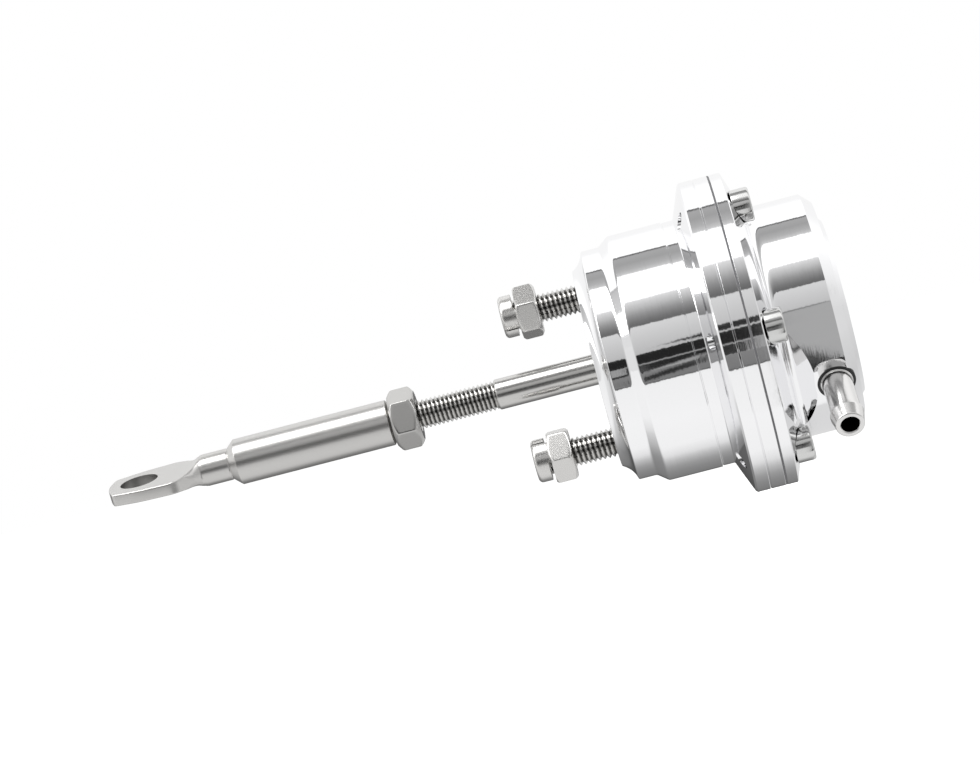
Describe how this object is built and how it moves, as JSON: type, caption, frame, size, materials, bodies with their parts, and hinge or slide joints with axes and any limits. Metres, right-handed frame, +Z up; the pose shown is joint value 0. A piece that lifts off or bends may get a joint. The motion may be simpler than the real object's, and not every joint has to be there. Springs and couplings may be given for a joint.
{
  "type": "turbo wastegate actuator",
  "caption": "Pneumatic wastegate actuator: round billet housing with mounting studs, bolted cap with a hose barb, and a sprung push rod with a flat adjustable eye.",
  "frame": {"origin": "centre of the mounting face, on the push rod's axis", "axes": "+X along the rod's axis towards the pressure cap, so the rod points to -X and moves out that way; the hose barb points to -Y and down, 36 degrees below -Y; +Z is up in the picture"},
  "size_m": [0.1551, 0.065, 0.065],
  "materials": {
    "polished_housing": "mirror polished, with fine turning marks",
    "polished_ring": "mirror polished rim",
    "polished_cap": "mirror polished, with fine turning marks",
    "polished_barb": "bright nickel plate",
    "stud_steel": "bright stainless thread",
    "lock_nut_steel": "tumbled stainless, slightly grainy",
    "jam_nut_steel": "plated steel, slightly grainy",
    "screw_steel": "bright stainless",
    "rod_steel": "ground stainless",
    "rod_end_steel": "satin turned stainless",
    "spring_wire": "oiled spring steel",
    "pressed_steel": "plain zinc plate",
    "turned_aluminium": "as turned",
    "bush_bronze": "plain sintered bronze",
    "black_rubber": "smooth",
    "diaphragm_rubber": "fabric reinforced, matt"
  },
  "bodies": {
    "housing": {"spring_housing": "polished_housing", "upper_stud": "stud_steel", "lower_stud": "stud_steel", "rod_bush": "bush_bronze", "rod_wiper": "black_rubber", "spring_seat": "pressed_steel", "outer_spring": "spring_wire", "inner_spring": "spring_wire", "clamp_ring": "polished_ring", "diaphragm": "diaphragm_rubber", "pressure_cap": "polished_cap", "cap_screws": "screw_steel", "hose_barb": "polished_barb", "barb_seal": "black_rubber"},
    "push_rod": {"actuator_rod": "rod_steel", "piston": "turned_aluminium", "diaphragm_retainer": "turned_aluminium", "piston_washer": "pressed_steel", "piston_nut": "pressed_steel"},
    "jam_nut": {"jam_nut": "jam_nut_steel"},
    "rod_end": {"rod_end": "rod_end_steel"},
    "upper_lock_nut": {"upper_stud_nut": "lock_nut_steel"},
    "lower_lock_nut": {"lower_stud_nut": "lock_nut_steel"}
  },
  "joints": [
    {"name": "rod_slide", "type": "slide", "parent": "housing", "child": "push_rod", "axis": [-1, 0, 0], "range_m": [0, 0.012], "stiffness_N_per_m": 3300, "deforming": ["outer_spring", "inner_spring", "diaphragm"]},
    {"name": "rod_end_turn", "type": "hinge", "parent": "push_rod", "child": "rod_end", "pos_m": [-0.06, 0, 0], "axis": [1, 0, 0], "continuous": true},
    {"name": "jam_nut_turn", "type": "hinge", "parent": "push_rod", "child": "jam_nut", "pos_m": [-0.0406, 0, 0], "axis": [1, 0, 0], "continuous": true},
    {"name": "upper_nut_turn", "type": "hinge", "parent": "housing", "child": "upper_lock_nut", "pos_m": [-0.0128, 0.00863, 0.01494], "axis": [1, 0, 0], "continuous": true},
    {"name": "lower_nut_turn", "type": "hinge", "parent": "housing", "child": "lower_lock_nut", "pos_m": [-0.0128, -0.00863, -0.01494], "axis": [1, 0, 0], "continuous": true}
  ]
}
